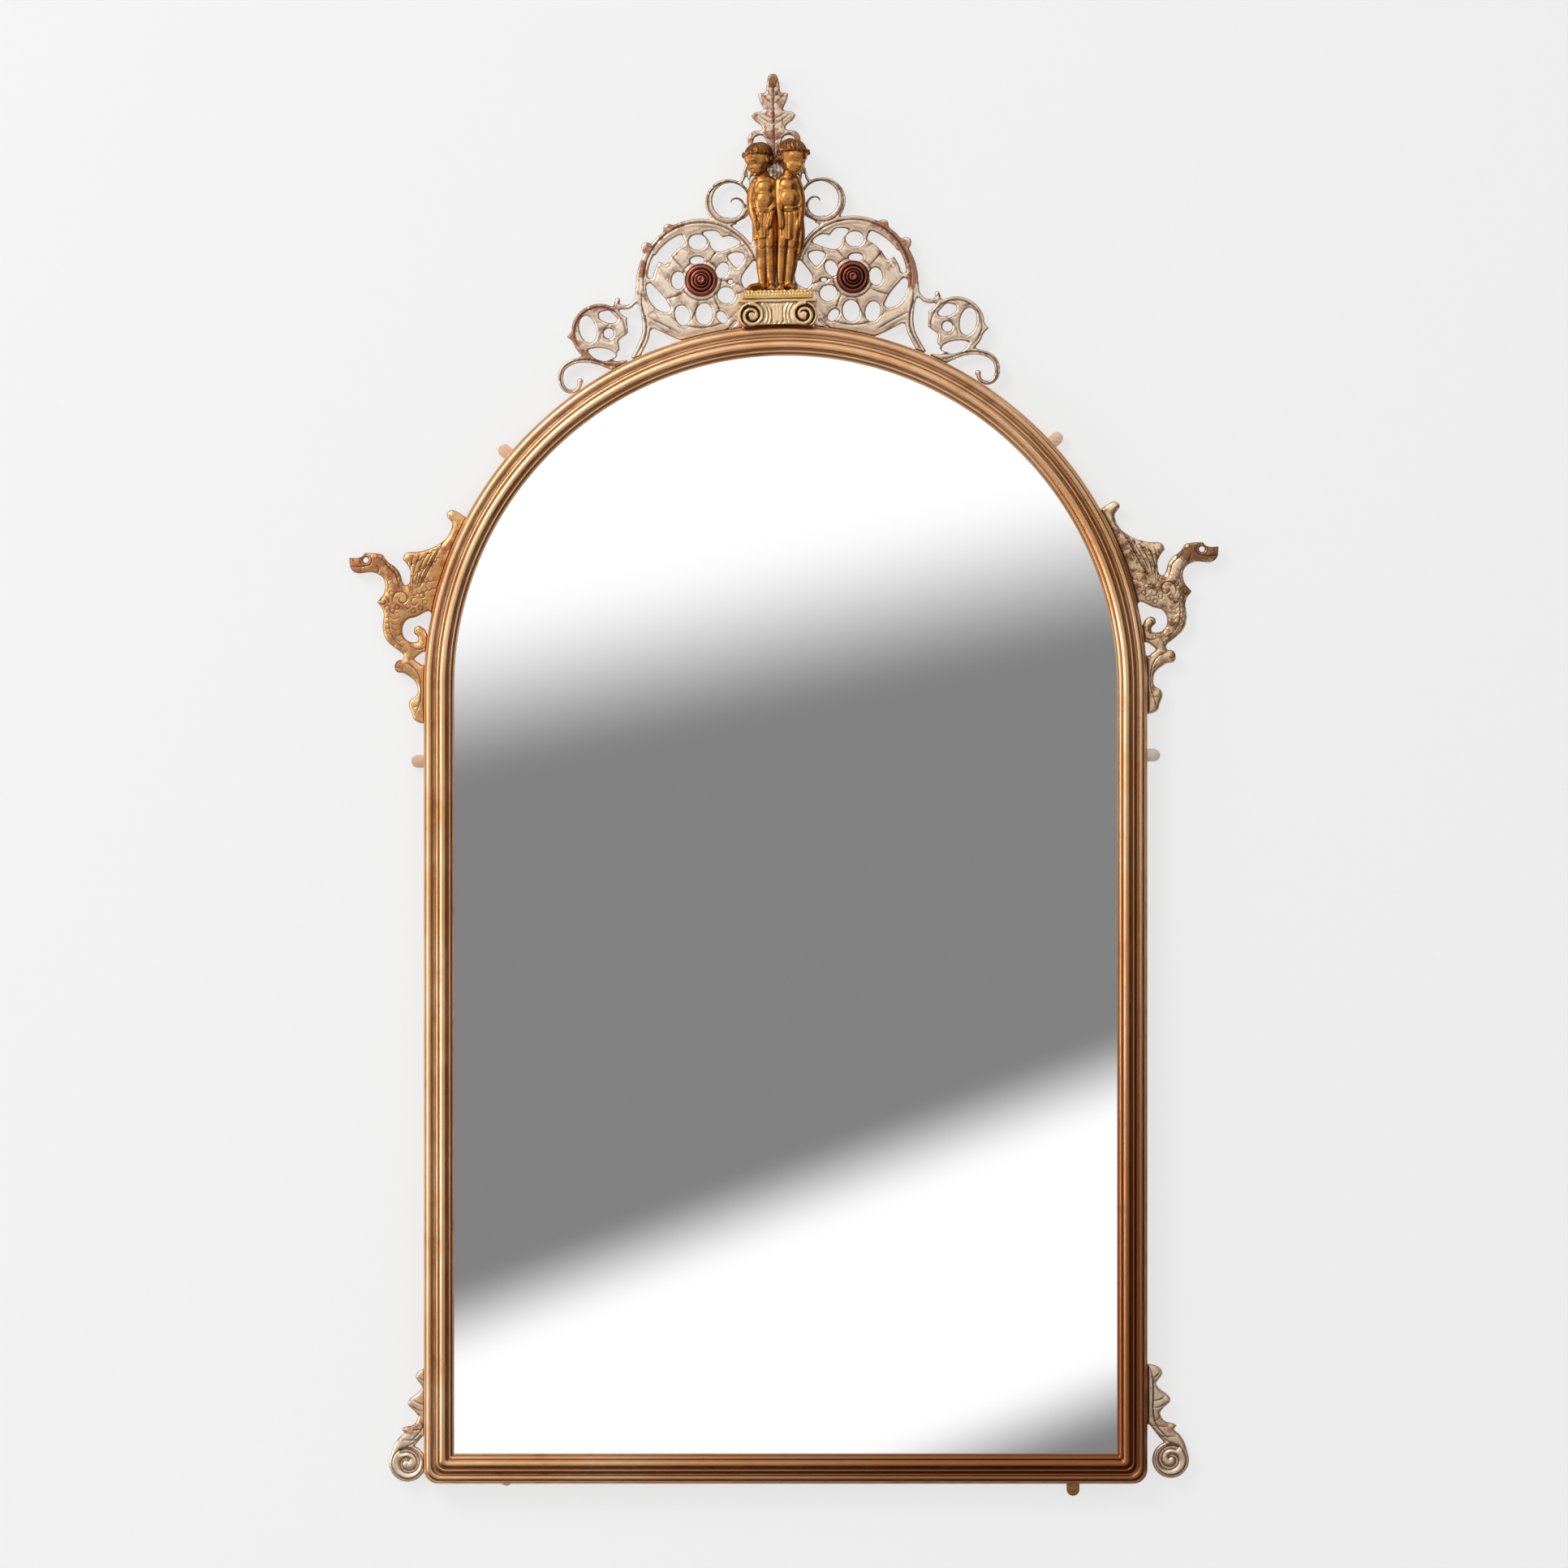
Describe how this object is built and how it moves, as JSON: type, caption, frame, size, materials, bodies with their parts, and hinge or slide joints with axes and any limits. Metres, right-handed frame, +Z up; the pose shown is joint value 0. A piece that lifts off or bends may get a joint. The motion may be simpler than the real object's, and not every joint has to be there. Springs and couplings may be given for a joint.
{
  "type": "pier mirror",
  "caption": "Arched wall mirror in a reeded patinated bronze frame, with a pierced scrollwork crest carrying a figure group, winged side plates and turn buttons that hold the backboard.",
  "frame": {"origin": "on the wall plane behind the mirror, on its centre line, at the height of the centre of the arch, which is also the height of the two keyhole hangers", "axes": "+Y points from the mirror into the wall, +Z up, +X to the right of someone who looks into the mirror; the mirror faces -Y"},
  "size_m": [0.8589, 0.033, 1.4055],
  "materials": {
    "frame_bronze": "copper-brown patinated bronze, polished on the reeds and dark in the grooves",
    "pale_bronze": "pale champagne bronze with pink-brown oxidation",
    "gold_bronze": "golden brown bronze with dark recesses",
    "red_bronze": "dark red-brown bronze, worn bright on the rings",
    "side_bronze": "brown-gold bronze, chased and stippled",
    "mirror": "silvered plate glass, polished",
    "felt": "dark felt",
    "board": "aged plywood, waxed",
    "steel": "dull zinc-plated steel",
    "rubber": "soft dark rubber"
  },
  "bodies": {
    "frame": {"frame_arch": "frame_bronze", "frame_bottom_rail": "frame_bronze", "frame_left_stile": "frame_bronze", "frame_right_stile": "frame_bronze", "mirror_glass": "mirror", "felt_sheet": "felt", "backboard": "board", "crest_plate": "pale_bronze", "volute_capital": "pale_bronze", "figure_plinth": "pale_bronze", "left_figure": "gold_bronze", "left_boss": "red_bronze", "left_dragon": "side_bronze", "left_lower_scroll": "side_bronze", "left_hanger": "steel", "left_hanger_screw_1": "steel", "left_hanger_screw_2": "steel", "left_dragon_screw_1": "steel", "left_dragon_screw_2": "steel", "left_scroll_screw_1": "steel", "left_scroll_screw_2": "steel", "right_figure": "gold_bronze", "right_boss": "red_bronze", "right_dragon": "side_bronze", "right_lower_scroll": "side_bronze", "right_hanger": "steel", "right_hanger_screw_1": "steel", "right_hanger_screw_2": "steel", "right_dragon_screw_1": "steel", "right_dragon_screw_2": "steel", "right_scroll_screw_1": "steel", "right_scroll_screw_2": "steel", "crest_screw_1": "steel", "crest_screw_2": "steel", "crest_screw_3": "steel", "crest_screw_4": "steel", "upper_left_pivot": "steel", "upper_right_pivot": "steel", "side_left_pivot": "steel", "side_right_pivot": "steel", "lower_left_pivot": "steel", "lower_right_pivot": "steel", "upper_left_bumper": "rubber", "upper_right_bumper": "rubber", "lower_left_bumper": "rubber", "lower_right_bumper": "rubber"},
    "upper_left_button": {"upper_left_button": "side_bronze"},
    "upper_right_button": {"upper_right_button": "side_bronze"},
    "side_left_button": {"side_left_button": "side_bronze"},
    "side_right_button": {"side_right_button": "side_bronze"},
    "lower_left_button": {"lower_left_button": "side_bronze"},
    "lower_right_button": {"lower_right_button": "side_bronze"}
  },
  "joints": [
    {"name": "upper_left_turn", "type": "hinge", "parent": "frame", "child": "upper_left_button", "pos_m": [-0.26543, -0.00445, 0.22351], "axis": [0, 1, 0], "continuous": true},
    {"name": "upper_right_turn", "type": "hinge", "parent": "frame", "child": "upper_right_button", "pos_m": [0.25543, -0.00445, 0.23488], "axis": [0, 1, 0], "continuous": true},
    {"name": "side_left_turn", "type": "hinge", "parent": "frame", "child": "side_left_button", "pos_m": [-0.347, -0.00445, -0.073], "axis": [0, 1, 0], "continuous": true},
    {"name": "side_right_turn", "type": "hinge", "parent": "frame", "child": "side_right_button", "pos_m": [0.347, -0.00445, -0.067], "axis": [0, 1, 0], "continuous": true},
    {"name": "lower_left_turn", "type": "hinge", "parent": "frame", "child": "lower_left_button", "pos_m": [-0.276, -0.00445, -0.776], "axis": [0, 1, 0], "continuous": true},
    {"name": "lower_right_turn", "type": "hinge", "parent": "frame", "child": "lower_right_button", "pos_m": [0.284, -0.00445, -0.776], "axis": [0, 1, 0], "continuous": true}
  ]
}
